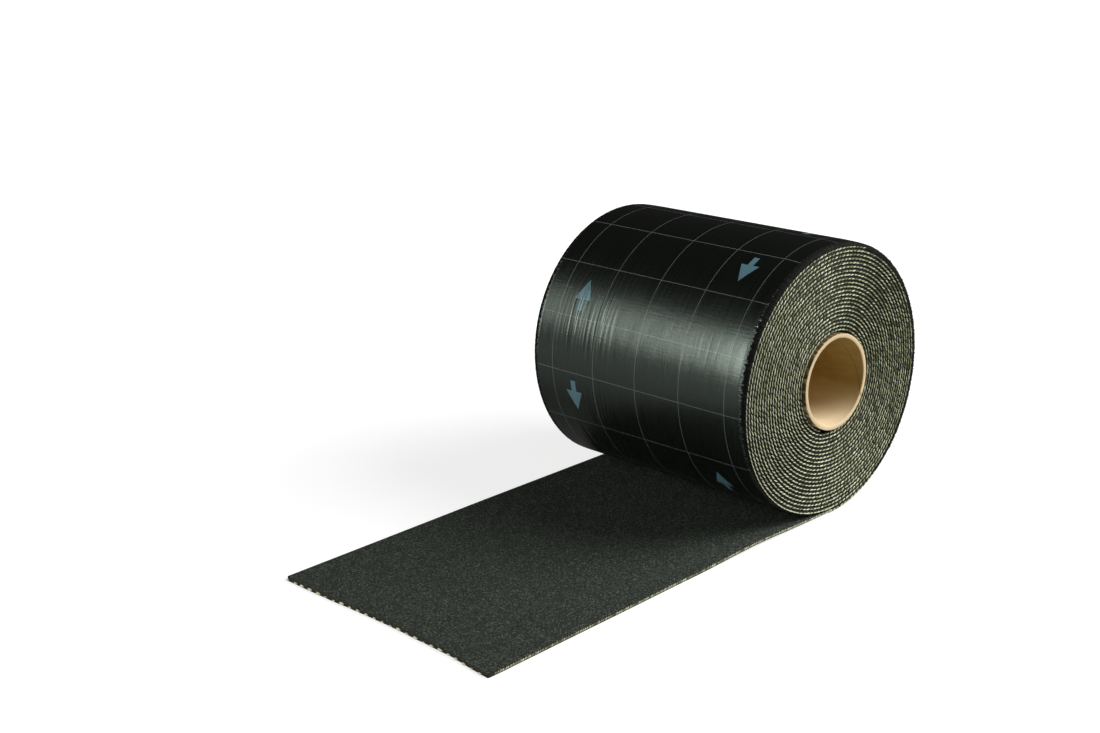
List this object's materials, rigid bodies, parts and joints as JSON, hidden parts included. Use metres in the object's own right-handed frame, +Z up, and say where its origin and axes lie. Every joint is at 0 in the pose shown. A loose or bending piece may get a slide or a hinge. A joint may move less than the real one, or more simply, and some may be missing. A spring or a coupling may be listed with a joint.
{
  "type": "roll of lead-free flashing strip",
  "caption": "Roll of flexible lead-free flashing on a cardboard core, wound into a tight spiral, with its outer end unrolled flat on the floor.",
  "frame": {"origin": "on the floor, under the middle of the whole object's box", "axes": "+Z up, the roll's axis along Y, the unrolled end of the strip towards -X and the roll towards +X"},
  "size_m": [0.5262, 0.253, 0.2417],
  "materials": {
    "strip_film": "glossy black release film on the underside and outside",
    "strip_compound": "satin black flexible compound, seen at the edges",
    "strip_granules": "matt fine dark mineral granules on the upper side",
    "strip_mesh": "cut ends of the reinforcing mesh at the edges",
    "film_print": "thin pale blue-grey printed measuring grid",
    "core_cardboard": "plain brown paper tube"
  },
  "bodies": {
    "root": {"flashing_strip": "strip_film", "cardboard_core": "core_cardboard"}
  },
  "joints": []
}
